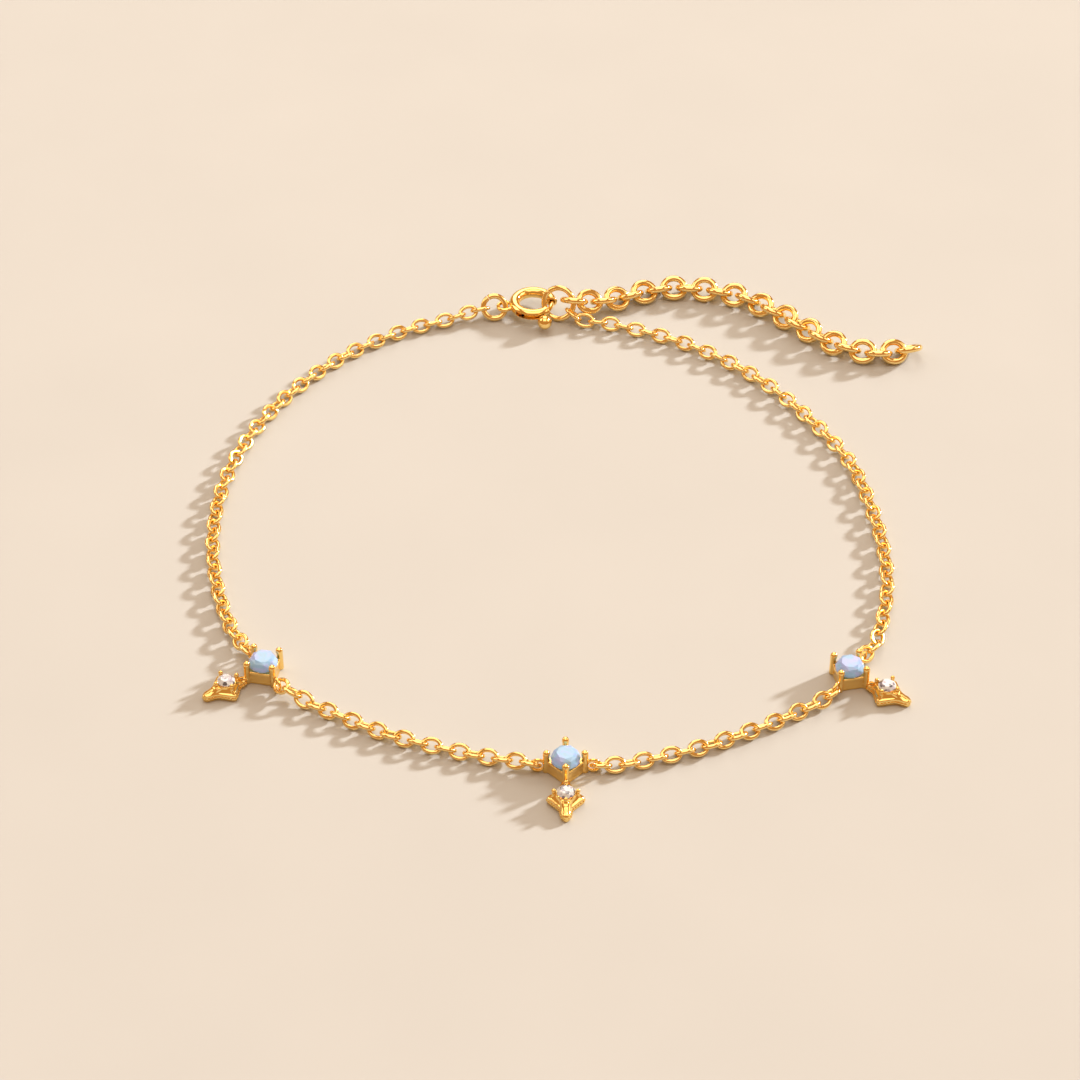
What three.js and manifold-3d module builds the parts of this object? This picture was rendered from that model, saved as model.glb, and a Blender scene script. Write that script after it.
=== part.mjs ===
// A fine gold charm bracelet lying in a loop on a flat surface at z = 0, seen from -Y.
// Three stone-set charms hang on cable chain, closed at the back by a spring-ring clasp.
import * as THREE from "three";
import { mergeVertices } from "three/addons/utils/BufferGeometryUtils.js";
import Module from "manifold-3d";

const wasm = await Module();
wasm.setup();

// Driving dimensions are in millimetres and angles in degrees.

// Square cup that holds the opal, with a prong at each corner
const CUP_CORNER = 1.53;
const CUP_HEIGHT = 1.15;
const CUP_FLOOR = 0.45;
const POCKET_MOUTH = 0.98;
const POCKET_FLOOR = 0.5;
const PRONG_REACH = 1.46;
const PRONG_TIP_REACH = 1.42;
const PRONG_SIDES = 8;
const PRONG_PROFILE = [
  { radius: 0.25, height: 0 },
  { radius: 0.25, height: 1.55 },
  { radius: 0.28, height: 1.8, tip: true },
  { radius: 0.25, height: 2, tip: true },
  { radius: 0.11, height: 2.14, tip: true },
];

// Upright loops on both sides of the cup, which the chain hooks into
const LOOP_REACH = 2.07;
const LOOP_RADIUS = 0.52;
const LOOP_WIRE = 0.125;
const LOOP_HEIGHT = 0.66;
const LOOP_SIDES = 10;
const LOOP_WIRE_SIDES = 5;

// Four-pointed star below the cup
const STAR_REACH = 3.25;
const STAR_SIDE_ARM = 1.39;
const STAR_INNER_ARM = 1.75;
const STAR_OUTER_ARM = 2.08;
const STAR_RIM = 0.62;
const STAR_TOP = 1.02;
const SEAT_RADIUS = 0.74;
const SEAT_MOUTH = 0.63;
const SEAT_FLOOR = 0.2;
const SEAT_FLOOR_HEIGHT = 0.6;
const NECK_RADIUS = 0.25;
const NECK_HEIGHT = 0.45;
const NECK_SIDES = 6;
const BEAD_REACH = 0.89;
const BEAD_SIDES = 6;
const BEAD_PROFILE = [
  { radius: 0.14, height: 0.55 },
  { radius: 0.14, height: 1.08 },
  { radius: 0.18, height: 1.24 },
  { radius: 0.09, height: 1.42 },
];

// A quarter of the star's outline, from a side tip towards the next tip, in shares of the two arms
const STAR_QUARTER = [
  { across: 1, along: 0 },
  { across: 0.95, along: 0.09 },
  { across: 0.55, along: 0.37 },
  { across: 0.34, along: 0.54 },
  { across: 0.24, along: 0.86 },
  { across: 0.13, along: 0.97 },
];
const STAR_POINTS = 4 * STAR_QUARTER.length;

// Cut stones, with heights above the charm's back
const STONE_SIDES = 16;
const OPAL_CUT = [
  { radius: 0.25, height: 0.72 },
  { radius: 1.12, height: 1.3 },
  { radius: 1.12, height: 1.48 },
  { radius: 0.93, height: 1.86 },
  { radius: 0.64, height: 2, table: true },
];
const CLEAR_STONE_CUT = [
  { radius: 0.1, height: 0.78 },
  { radius: 0.68, height: 1.12 },
  { radius: 0.68, height: 1.18 },
  { radius: 0.42, height: 1.42, table: true },
];

// Cable chains. A wire is given by its radius, and overlap is how far two links sink into each other.
const CHAIN_HEIGHT = 0.49;
const FINE_LINK = { width: 1.36, wire: 0.16, overlap: 0.06, roll: 36, sides: 10, wireSides: 5 };
const COARSE_LINK = { width: 2.3, wire: 0.25, overlap: 0.15, roll: 35, sides: 10, wireSides: 5 };
const FRONT_LINKS = { left: 20, right: 19 };
const EXTENSION_LINKS = 25;
const HOOKED_REACH = 1.95; // where a link's wire lies inside a charm's loop
const SIDE_CHAIN_RADIUS = 0.55;
const SIDE_CHAIN_HEIGHT = 0.58;
const SIDE_CHAIN_SIDES = 8;
const SIDE_CHAIN_STEPS = 24;
const SIDE_CHAIN_START = 2.9;

// Spring-ring clasp. Angles run anticlockwise from +X about the clasp's axis.
const CLASP = { x: -3.5, y: 29.42, z: 1 };
const BODY_RADIUS = 1.64;
const BODY_TUBE = 0.48;
const BODY_SIDES = 8;
const BODY_STEP = 15;
const BORE_TUBE = 0.29;
const BOLT_TUBE = 0.2;
const BOLT_SIDES = 6;
const MOUTH_FAR = 6;
const MOUTH_NEAR = -44;
const BOLT_TIP = 13;
const BOLT_TAIL = -84;
const SOCKET_END = 18;
const LEVER_TRAVEL = 58;
const BORE_SPARE = 5;
const KNOB_ANGLE = -70;
const KNOB_REACH = 2.95;
const KNOB_RADIUS = 0.62;
const STEM_RADIUS = 0.15;
const SLOT_WIDTH = 0.42;
const SLOT_SPARE = 8;
const EYE_ANGLE = 190;
const EYE_REACH = 2.52;
const EYE_RADIUS = 0.58;
const EYE_WIRE = 0.17;

// Rings on both sides of the clasp, leaning on their lower edge
const RING_WIRE = 0.24;
const RING_SIDES = 14;
const RING_WIRE_SIDES = 6;
const JUMP_RING = { radius: 0.98, reach: 3.44, direction: EYE_ANGLE, heading: 10, lean: 53, lift: 0 };
const END_RING = { radius: 1.35, reach: 2.3, direction: -14, heading: -9, lean: 58, lift: 20 };

// Where the extension's first wire lies inside the end ring
const HOLD_RADIUS = 0.6;
const HOLD_ANGLE = 20;

// Where each charm's cup stands, and how far it is turned from facing -Y
const CHARMS = {
  left: { x: -24.1, y: -16.9, turn: -57 },
  middle: { x: -1, y: -27.3, turn: 0 },
  right: { x: 20.8, y: -17.45, turn: 57 },
};

// Points that each chain passes through between its two ends, on the surface
const ROUTES = {
  frontLeft: [
    { x: -22.3, y: -19.3, z: 0.95 },
    { x: -21.3, y: -19.9, z: 0.75 },
    { x: -20.4, y: -20.5, z: 0.5 },
    { x: -18.5, y: -21.6 },
    { x: -14.7, y: -23.7 },
    { x: -10.4, y: -25.3 },
    { x: -6.4, y: -26.4 },
    { x: -4.3, y: -27.05, z: 0.78 },
  ],
  frontRight: [
    { x: 3, y: -27.1 },
    { x: 6.1, y: -26.3 },
    { x: 9.4, y: -25.2 },
    { x: 14, y: -23 },
    { x: 17.1, y: -21.2 },
    { x: 18.75, y: -20.2, z: 0.7 },
  ],
  sideLeft: [
    { x: -27, y: -12 },
    { x: -28.6, y: -6.4 },
    { x: -29.25, y: -0.5 },
    { x: -28.7, y: 6.2 },
    { x: -26.8, y: 12.4 },
    { x: -23.5, y: 18.2 },
    { x: -19.3, y: 22.9 },
    { x: -14.5, y: 26.2 },
    { x: -11.3, y: 27.5 },
  ],
  sideRight: [
    { x: 23, y: -14 },
    { x: 24.4, y: -8.5 },
    { x: 24.65, y: -3.5 },
    { x: 24.1, y: 2 },
    { x: 22.7, y: 8.2 },
    { x: 19.8, y: 13.8 },
    { x: 15.6, y: 19.5 },
    { x: 9.8, y: 24.2 },
    { x: 3.3, y: 27.05 },
  ],
  extension: [
    { x: 1.4, y: 29, z: 1.5 },
    { x: 3.8, y: 30.1, z: 1 },
    { x: 6.3, y: 31.3 },
    { x: 9, y: 31.9 },
    { x: 11.9, y: 31.6 },
    { x: 14.9, y: 30.5 },
    { x: 17.4, y: 28.6 },
    { x: 19.6, y: 26.6 },
    { x: 21.7, y: 24.5 },
    { x: 23.7, y: 23.2 },
    { x: 26.2, y: 22.5 },
    { x: 29.7, y: 23.3 },
  ],
};
const EXTENSION_HEIGHT = 0.8;
const SIDE_LEFT_END = { x: -8.4, y: 28.5, z: 0.95 };
const SIDE_RIGHT_END = { x: 0.7, y: 27.55, z: 0.65 };

const UP = new THREE.Vector3(0, 0, 1);
const toRadians = THREE.MathUtils.degToRad;

// A closed geometry as a solid that can be joined and cut
function solid(geometry) {
  const shell = geometry.clone();
  shell.deleteAttribute("normal");
  shell.deleteAttribute("uv");
  const merged = mergeVertices(shell, 1e-4);
  const vertProperties = merged.attributes.position.array;
  const triVerts = new Uint32Array(merged.index.array);
  return new wasm.Manifold(new wasm.Mesh({ numProp: 3, vertProperties, triVerts }));
}

function join(geometries) {
  return geometries.map(solid).reduce((whole, piece) => whole.add(piece));
}

function toGeometry(shape) {
  const mesh = shape.getMesh();
  const geometry = new THREE.BufferGeometry();
  geometry.setAttribute("position", new THREE.BufferAttribute(new Float32Array(mesh.vertProperties), 3));
  geometry.setIndex(new THREE.BufferAttribute(new Uint32Array(mesh.triVerts), 1));
  return geometry;
}

// Skin over rings of equal point counts, from the lowest ring up, closed by a fan at each end
function loft(rings) {
  const count = rings[0].length;
  const last = rings.length - 1;
  const points = rings.flat();
  const faces = [];
  for (let ring = 0; ring < last; ring++) {
    for (let k = 0; k < count; k++) {
      const a = ring * count + k;
      const b = ring * count + ((k + 1) % count);
      faces.push(a, b, b + count, a, b + count, a + count);
    }
  }
  for (const ring of [0, last]) {
    const centre = new THREE.Vector3();
    rings[ring].forEach((point) => centre.addScaledVector(point, 1 / count));
    points.push(centre);
    for (let k = 0; k < count; k++) {
      const a = ring * count + k;
      const b = ring * count + ((k + 1) % count);
      faces.push(points.length - 1, ring ? a : b, ring ? b : a);
    }
  }
  return new THREE.BufferGeometry().setFromPoints(points).setIndex(faces);
}

// Upright round bar or cone
function post(x, y, low, high, radiusLow, radiusHigh, sides) {
  const bar = new THREE.CylinderGeometry(radiusHigh, radiusLow, high - low, sides);
  return bar.rotateX(Math.PI / 2).translate(x, y, (low + high) / 2);
}

function roundRing(x, y, height, radius, sides) {
  return Array.from({ length: sides }, (_, k) => {
    const angle = (2 * Math.PI * k) / sides;
    return new THREE.Vector3(x + radius * Math.cos(angle), y + radius * Math.sin(angle), height);
  });
}

// The four compass points of a setting
const COMPASS = [
  { x: 1, y: 0 },
  { x: 0, y: 1 },
  { x: -1, y: 0 },
  { x: 0, y: -1 },
];

function starRing(height) {
  const mirrored = STAR_QUARTER.slice(1).map(({ across, along }) => ({ across: -across, along }));
  const half = [...STAR_QUARTER, { across: 0, along: 1 }, ...mirrored.reverse()];
  const otherHalf = half.map(({ across, along }) => ({ across: -across, along: -along }));
  return [...half, ...otherHalf].map(({ across, along }) => {
    const arm = along > 0 ? STAR_INNER_ARM : STAR_OUTER_ARM;
    return new THREE.Vector3(across * STAR_SIDE_ARM, along * arm - STAR_REACH, height);
  });
}

// Cone that a stone's back sinks into, standing a little above the metal so that it cuts through
function hollow(y, floor, mouth, floorRadius, mouthRadius) {
  const above = 0.1;
  const topRadius = mouthRadius + (above * (mouthRadius - floorRadius)) / (mouth - floor);
  return post(0, y, floor, mouth + above, floorRadius, topRadius, STONE_SIDES);
}

// One charm: cup, prongs, loops, neck, star and bead prongs soldered together, standing on its flat back
function charmSolid() {
  const cup = post(0, 0, 0, CUP_HEIGHT, CUP_CORNER, CUP_CORNER, 4);
  const neckLength = STAR_REACH - PRONG_REACH - SEAT_RADIUS;
  const neck = new THREE.CylinderGeometry(NECK_RADIUS, NECK_RADIUS, neckLength, NECK_SIDES);
  neck.translate(0, -PRONG_REACH - neckLength / 2, NECK_HEIGHT);
  const seatRing = roundRing(0, -STAR_REACH, STAR_TOP, SEAT_RADIUS, STAR_POINTS);
  const pieces = [cup, neck, loft([starRing(0), starRing(STAR_RIM), seatRing])];
  for (const { x, y } of COMPASS) {
    const prong = PRONG_PROFILE.map(({ radius, height, tip }) => {
      const reach = tip ? PRONG_TIP_REACH : PRONG_REACH;
      return roundRing(reach * x, reach * y, height, radius, PRONG_SIDES);
    });
    const bead = BEAD_PROFILE.map(({ radius, height }) =>
      roundRing(BEAD_REACH * x, BEAD_REACH * y - STAR_REACH, height, radius, BEAD_SIDES),
    );
    pieces.push(loft(prong), loft(bead));
  }
  for (const side of [-1, 1]) {
    const loop = new THREE.TorusGeometry(LOOP_RADIUS, LOOP_WIRE, LOOP_WIRE_SIDES, LOOP_SIDES);
    pieces.push(loop.rotateX(Math.PI / 2).translate(side * LOOP_REACH, 0, LOOP_HEIGHT));
  }
  const pocket = hollow(0, CUP_FLOOR, CUP_HEIGHT, POCKET_FLOOR, POCKET_MOUTH);
  const seat = hollow(-STAR_REACH, SEAT_FLOOR_HEIGHT, STAR_TOP, SEAT_FLOOR, SEAT_MOUTH);
  return join(pieces).subtract(solid(pocket)).subtract(solid(seat));
}

// Round cut stone from its pointed back up to the girdle, the sloping crown and an eight-sided table
function stoneGeometry(cut) {
  const octagon = Math.cos((2 * Math.PI) / STONE_SIDES);
  const rings = cut.map(({ radius, height, table }) =>
    roundRing(0, 0, height, radius, STONE_SIDES).map((point, k) => {
      const inset = table && k % 2 ? octagon : 1;
      return new THREE.Vector3(point.x * inset, point.y * inset, height);
    }),
  );
  return loft(rings);
}

// Closed oval that a link's wire follows
class LinkOval extends THREE.Curve {
  constructor(halfLength, halfWidth) {
    super();
    this.halfLength = halfLength;
    this.halfWidth = halfWidth;
  }

  getPoint(t, target = new THREE.Vector3()) {
    const angle = 2 * Math.PI * t;
    return target.set(this.halfLength * Math.cos(angle), this.halfWidth * Math.sin(angle), 0);
  }
}

// Interlocked links from the first wire to the last along a curve, rolled to the left and right in turn
function chainSolid(curve, count, link, firstRoll) {
  const length = curve.getLength();
  const spacing = (length - 2 * link.wire + link.overlap) / count;
  const halfLength = (spacing + 2 * link.wire - link.overlap) / 2;
  const oval = new LinkOval(halfLength, link.width / 2 - link.wire);
  const ring = new THREE.TubeGeometry(oval, link.sides, link.wire, link.wireSides, true);
  const links = [];
  for (let k = 0; k < count; k++) {
    const share = (halfLength + k * spacing) / length;
    const along = curve.getTangentAt(share);
    const across = new THREE.Vector3().crossVectors(UP, along).normalize();
    across.applyAxisAngle(along, toRadians(k % 2 ? -firstRoll : firstRoll));
    const facing = new THREE.Vector3().crossVectors(along, across);
    const place = new THREE.Matrix4().makeBasis(along, across, facing);
    links.push(ring.clone().applyMatrix4(place.setPosition(curve.getPointAt(share))));
  }
  return join(links);
}

// A point on a charm's chain line, on its left (-1) or right (1) side
function charmSide(charm, side, reach) {
  const turn = toRadians(charm.turn);
  const x = charm.x + side * reach * Math.cos(turn);
  return new THREE.Vector3(x, charm.y + side * reach * Math.sin(turn), LOOP_HEIGHT);
}

function routeCurve(start, route, end, height) {
  const middle = route.map(({ x, y, z = height }) => new THREE.Vector3(x, y, z));
  return new THREE.CatmullRomCurve3([start, ...middle, end], false, "centripetal");
}

// Round bar along a curve
function bar(curve, radius, sides, steps) {
  const corners = Array.from({ length: sides }, (_, k) => {
    const angle = (2 * Math.PI * k) / sides;
    return new THREE.Vector2(radius * Math.cos(angle), radius * Math.sin(angle));
  });
  return new THREE.ExtrudeGeometry(new THREE.Shape(corners), { steps, extrudePath: curve });
}

// Arc about the clasp's axis
class ClaspArc extends THREE.Curve {
  constructor(from, to) {
    super();
    this.from = toRadians(from);
    this.to = toRadians(to);
  }

  getPoint(t, target = new THREE.Vector3()) {
    const angle = THREE.MathUtils.lerp(this.from, this.to, t);
    return target.set(BODY_RADIUS * Math.cos(angle), BODY_RADIUS * Math.sin(angle), 0);
  }
}

function claspBar(from, to, radius, sides) {
  return bar(new ClaspArc(from, to), radius, sides, Math.ceil((to - from) / BODY_STEP));
}

// Hollow ring of the clasp: bolt bore, socket for the bolt's tip, slot for the knob's stem and a fixed eye
function claspRingSolid() {
  const eyeAngle = toRadians(EYE_ANGLE);
  const eye = new THREE.TorusGeometry(EYE_RADIUS, EYE_WIRE, RING_WIRE_SIDES, RING_SIDES);
  eye.translate(EYE_REACH * Math.cos(eyeAngle), EYE_REACH * Math.sin(eyeAngle), 0);
  const mouthOverrun = 4;
  const boreEnd = BOLT_TAIL - LEVER_TRAVEL - BORE_SPARE;
  const bore = claspBar(boreEnd, MOUTH_NEAR + mouthOverrun, BORE_TUBE, BOLT_SIDES);
  const socket = claspBar(MOUTH_FAR - mouthOverrun, SOCKET_END, BORE_TUBE, BOLT_SIDES);
  const slotFrom = toRadians(KNOB_ANGLE - LEVER_TRAVEL - SLOT_SPARE);
  const slotTo = toRadians(KNOB_ANGLE + SLOT_SPARE);
  const slotOuter = BODY_RADIUS + 1.5 * BODY_TUBE;
  const slotShape = new THREE.Shape();
  slotShape.absarc(0, 0, slotOuter, slotFrom, slotTo, false);
  slotShape.absarc(0, 0, BODY_RADIUS, slotTo, slotFrom, true);
  const slotDepth = { depth: SLOT_WIDTH, bevelEnabled: false, curveSegments: 8 };
  const slot = new THREE.ExtrudeGeometry(slotShape, slotDepth);
  slot.translate(0, 0, -SLOT_WIDTH / 2);
  return solid(claspBar(MOUTH_FAR, 360 + MOUTH_NEAR, BODY_TUBE, BODY_SIDES))
    .add(solid(eye))
    .subtract(solid(bore))
    .subtract(solid(socket))
    .subtract(solid(slot));
}

// Curved bolt that closes the mouth, with the knob that pulls it back
function claspLeverSolid() {
  const knobAngle = toRadians(KNOB_ANGLE);
  const stemLength = KNOB_REACH - BODY_RADIUS;
  const stem = new THREE.CylinderGeometry(STEM_RADIUS, STEM_RADIUS, stemLength, BOLT_SIDES);
  stem.rotateZ(-Math.PI / 2).translate(BODY_RADIUS + stemLength / 2, 0, 0);
  const knob = new THREE.SphereGeometry(KNOB_RADIUS, 10, 6).translate(KNOB_REACH, 0, 0);
  const bolt = claspBar(BOLT_TAIL, BOLT_TIP, BOLT_TUBE, BOLT_SIDES);
  return join([bolt, stem.rotateZ(knobAngle), knob.rotateZ(knobAngle)]);
}

function metal() {
  return new THREE.MeshStandardMaterial({ color: 0xd9a441, roughness: 0.2, metalness: 1 });
}

const bracelet = new THREE.Group();
bracelet.name = "charm_bracelet";

function addPiece(name, geometry, material, parent = bracelet) {
  const mesh = new THREE.Mesh(geometry, material);
  mesh.name = name;
  parent.add(mesh);
  return mesh;
}

// Charms with their two stones
const charmGeometry = toGeometry(charmSolid());
const opalGeometry = stoneGeometry(OPAL_CUT);
const clearGeometry = stoneGeometry(CLEAR_STONE_CUT);
for (const [side, charm] of Object.entries(CHARMS)) {
  const station = new THREE.Group();
  station.position.set(charm.x, charm.y, 0);
  station.rotation.z = toRadians(charm.turn);
  bracelet.add(station);
  addPiece("charm_" + side, charmGeometry, metal(), station);
  const milky = new THREE.MeshStandardMaterial({ color: 0xb4d2ee, roughness: 0.15, metalness: 0 });
  addPiece("opal_" + side, opalGeometry, milky, station);
  const bright = new THREE.MeshStandardMaterial({ color: 0xf4f4f6, roughness: 0.05, metalness: 0 });
  addPiece("clear_stone_" + side, clearGeometry, bright, station).position.y = -STAR_REACH;
}

// Fine chains between the charms
const frontChains = [
  { side: "left", from: "left", to: "middle", route: ROUTES.frontLeft, tilt: 1 },
  { side: "right", from: "middle", to: "right", route: ROUTES.frontRight, tilt: -1 },
];
for (const { side, from, to, route, tilt } of frontChains) {
  const start = charmSide(CHARMS[from], 1, HOOKED_REACH);
  const end = charmSide(CHARMS[to], -1, HOOKED_REACH);
  const curve = routeCurve(start, route, end, CHAIN_HEIGHT);
  const chain = chainSolid(curve, FRONT_LINKS[side], FINE_LINK, tilt * FINE_LINK.roll);
  addPiece("front_chain_" + side, toGeometry(chain), metal());
}

// Side chains from the outer charms to the clasp, as bars of the chain's own width
const sideChains = [
  { charm: "left", side: -1, route: ROUTES.sideLeft, end: SIDE_LEFT_END },
  { charm: "right", side: 1, route: ROUTES.sideRight, end: SIDE_RIGHT_END },
];
for (const { charm, side, route, end } of sideChains) {
  const start = charmSide(CHARMS[charm], side, SIDE_CHAIN_START);
  const finish = new THREE.Vector3(end.x, end.y, end.z);
  const curve = routeCurve(start, route, finish, SIDE_CHAIN_HEIGHT);
  const chain = bar(curve, SIDE_CHAIN_RADIUS, SIDE_CHAIN_SIDES, SIDE_CHAIN_STEPS);
  addPiece("side_chain_" + charm, chain, metal());
}

// Clasp, with the bolt turning inside its ring
const clasp = new THREE.Group();
clasp.position.set(CLASP.x, CLASP.y, CLASP.z);
bracelet.add(clasp);
addPiece("clasp_ring", toGeometry(claspRingSolid()), metal(), clasp);
addPiece("clasp_lever", toGeometry(claspLeverSolid()), metal(), clasp);

// Rings that lean with their lower edge on the surface
function addRing(name, ring) {
  const geometry = new THREE.TorusGeometry(ring.radius, RING_WIRE, RING_WIRE_SIDES, RING_SIDES);
  const mesh = addPiece(name, geometry, metal());
  const direction = toRadians(ring.direction);
  mesh.rotation.set(toRadians(ring.lean), -toRadians(ring.lift), toRadians(ring.heading), "ZYX");
  mesh.position.x = CLASP.x + ring.reach * Math.cos(direction);
  mesh.position.y = CLASP.y + ring.reach * Math.sin(direction);
  const axis = new THREE.Vector3(0, 0, 1).applyEuler(mesh.rotation);
  mesh.position.z = RING_WIRE + ring.radius * Math.hypot(axis.x, axis.y);
  mesh.updateMatrix();
  return mesh;
}
addRing("clasp_jump_ring", JUMP_RING);
const endRing = addRing("end_ring", END_RING);

// Extension chain, hooked into the end ring and lying free
const hold = new THREE.Vector3(HOLD_RADIUS, 0, 0).applyAxisAngle(UP, toRadians(HOLD_ANGLE));
const extensionStart = hold.applyMatrix4(endRing.matrix);
const extensionEnd = new THREE.Vector3().copy({ ...ROUTES.extension.at(-1), z: EXTENSION_HEIGHT });
const extension = routeCurve(extensionStart, ROUTES.extension.slice(0, -1), extensionEnd, EXTENSION_HEIGHT);
const coarse = chainSolid(extension, EXTENSION_LINKS, COARSE_LINK, -COARSE_LINK.roll);
addPiece("extension_chain", toGeometry(coarse), metal());

export default bracelet;
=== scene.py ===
import math

import bpy
from mathutils import Matrix, Quaternion, Vector


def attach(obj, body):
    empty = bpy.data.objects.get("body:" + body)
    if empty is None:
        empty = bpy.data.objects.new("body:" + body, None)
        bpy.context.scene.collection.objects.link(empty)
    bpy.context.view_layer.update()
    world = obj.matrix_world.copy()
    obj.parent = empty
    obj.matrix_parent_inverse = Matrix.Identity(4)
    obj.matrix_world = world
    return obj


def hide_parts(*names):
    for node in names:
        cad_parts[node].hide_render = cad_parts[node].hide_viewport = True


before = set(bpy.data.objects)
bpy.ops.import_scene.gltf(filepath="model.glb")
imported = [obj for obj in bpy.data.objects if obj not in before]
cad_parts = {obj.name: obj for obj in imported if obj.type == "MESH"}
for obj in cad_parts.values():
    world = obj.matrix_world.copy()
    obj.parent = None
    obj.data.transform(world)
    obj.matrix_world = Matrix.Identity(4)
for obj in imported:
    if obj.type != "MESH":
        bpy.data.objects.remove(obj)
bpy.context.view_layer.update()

# Camera: at the photograph's angle, level, a long lens looking down on the table by 41 degrees.
# The bracelet lies in a loop with its charms toward the camera and its clasp at the back.
MM = 0.001
camera_data = bpy.data.cameras.new("camera")
camera_data.sensor_width = 36
camera_data.lens = 106.67
camera_data.clip_start = 0.01
camera = bpy.data.objects.new("camera", camera_data)
camera.location = Vector((-2.9, -195.8, 169.3)) * MM
camera.rotation_euler = (math.radians(49), 0, 0)
bpy.context.scene.collection.objects.link(camera)
bpy.context.scene.camera = camera

# Table and light: a plain pale table top in a warm room. A low key light from behind on the right
# throws long shadows to the left and front, and soft panels above, behind and on both sides give
# the polished metal something bright to mirror.
table_mesh = bpy.data.meshes.new("table_top")
table_mesh.from_pydata([(-2, -2, 0), (2, -2, 0), (2, 2, 0), (-2, 2, 0)], [], [(0, 1, 2, 3)])
table_top = bpy.data.objects.new("table_top", table_mesh)
bpy.context.scene.collection.objects.link(table_top)
pale = bpy.data.materials.new("pale_table")
pale.use_nodes = True
pale_paint = pale.node_tree.nodes["Principled BSDF"]
pale_paint.inputs["Roughness"].default_value = 0.75
pale_paint.inputs["Specular IOR Level"].default_value = 0.2
mottle = pale.node_tree.nodes.new("ShaderNodeTexNoise")
mottle.inputs["Scale"].default_value = 60
mottle_tones = pale.node_tree.nodes.new("ShaderNodeValToRGB")
mottle_tones.color_ramp.elements[0].color = (0.465, 0.475, 0.47, 1)
mottle_tones.color_ramp.elements[1].color = (0.495, 0.505, 0.50, 1)
mottle_place = pale.node_tree.nodes.new("ShaderNodeTexCoord")
pale.node_tree.links.new(mottle_place.outputs["Object"], mottle.inputs["Vector"])
pale.node_tree.links.new(mottle.outputs["Fac"], mottle_tones.inputs["Fac"])
pale.node_tree.links.new(mottle_tones.outputs["Color"], pale_paint.inputs["Base Color"])
table_mesh.materials.append(pale)


def aim(lamp, toward):
    lamp.rotation_mode = "QUATERNION"
    lamp.rotation_quaternion = Vector(toward).to_track_quat("-Z", "Y")


key_data = bpy.data.lights.new("key_light", "SUN")
key_data.energy = 5.2
key_data.angle = math.radians(5)
key_data.color = (1.0, 0.97, 0.93)
key = bpy.data.objects.new("key_light", key_data)
aim(key, (-1.72, -1.02, -0.76))
bpy.context.scene.collection.objects.link(key)

PANELS = [
    # name, place in metres, width, watts, colour
    ("top_panel", (0.0, -0.05, 0.50), 0.45, 0.95, (1.0, 0.93, 0.82)),
    ("back_panel", (0.0, 0.50, 0.45), 0.45, 1.65, (1.0, 0.94, 0.84)),
    ("left_panel", (-0.45, 0.15, 0.35), 0.30, 0.55, (1.0, 0.92, 0.80)),
    ("right_panel", (0.45, 0.05, 0.35), 0.30, 0.55, (1.0, 0.92, 0.80)),
]
for name, place, width, watts, colour in PANELS:
    panel_data = bpy.data.lights.new(name, "AREA")
    panel_data.size = width
    panel_data.energy = watts
    panel_data.color = colour
    panel = bpy.data.objects.new(name, panel_data)
    panel.location = place
    aim(panel, -Vector(place))
    bpy.context.scene.collection.objects.link(panel)

room = bpy.data.worlds.new("room")
room.use_nodes = True
room.node_tree.nodes["Background"].inputs["Color"].default_value = (0.47, 0.25, 0.105, 1)
room.node_tree.nodes["Background"].inputs["Strength"].default_value = 1.15
bpy.context.scene.world = room
bpy.context.scene.view_settings.view_transform = "Standard"

# Charms: a square cup with four round prongs and a loop on each side, and a four-pointed star
# hung from its lower corner, cast in yellow gold, soldered together and polished as one piece.
CHARMS = {
    # place on the table, and turn in degrees
    "left": ((-24.1, -16.9), -57),
    "middle": ((-1.0, -27.3), 0),
    "right": ((20.8, -17.45), 57),
}
CUP_SECTION = [
    # corner reach and height of the square outside, from the back up to the rim
    (1.46, 0.0), (1.53, 0.06), (1.53, 0.20), (1.49, 0.36),
    (1.49, 0.78), (1.53, 0.90), (1.53, 1.09), (1.47, 1.15),
]
CUP_POCKET = [
    # radius and height of the round pocket, from the rim down
    (1.04, 1.15), (0.98, 1.12), (0.5, 0.45),
]
PRONG_SECTION = [
    # distance from the cup's axis, radius and height of the prong
    (1.46, 0.20, 0.0), (1.46, 0.245, 0.05), (1.46, 0.245, 1.2), (1.455, 0.245, 1.45),
    (1.445, 0.255, 1.6), (1.43, 0.275, 1.74), (1.42, 0.285, 1.85), (1.42, 0.262, 1.97),
    (1.42, 0.19, 2.07), (1.42, 0.09, 2.13),
]
LOOP_REACH, LOOP_RADIUS, LOOP_WIRE, LOOP_HEIGHT = 2.07, 0.52, 0.135, 0.66
NECK_START, NECK_END, NECK_RADIUS, NECK_HEIGHT = 1.3, 2.75, 0.25, 0.45
STAR_REACH = 3.25
STAR_ARMS = {"side": 1.39, "inner": 1.75, "outer": 2.08}
STAR_QUARTER = [
    # shares of the two arms, from a side tip toward the next tip
    (1.0, 0.0), (0.95, 0.09), (0.55, 0.37), (0.34, 0.54), (0.24, 0.86), (0.13, 0.97),
]
STAR_SECTION = [
    # share of the outline's size, and height, from the back up to the top of the rim
    (0.94, 0.0), (0.99, 0.06), (0.99, 0.50), (0.975, 0.56), (0.94, 0.60), (0.90, 0.62),
]
STAR_SLOPE = [
    # way from the rim to the stone's collar, and height of the hollowed slope there
    (0.30, 0.67), (0.60, 0.76), (0.85, 0.87),
]
COLLAR_SHARE, COLLAR_RADIUS, COLLAR_ROUNDNESS, COLLAR_HEIGHT = 0.62, 0.82, 0.5, 0.94
SEAT_SECTION = [
    # radius and height of the stone's seat, over its lip and down into its bore
    (0.76, 0.98), (0.73, 1.03), (0.66, 1.03), (0.2, 0.6),
]
RIDGE_START, RIDGE_TOP, RIDGE_THICK = 0.95, 0.82, 0.14
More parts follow.
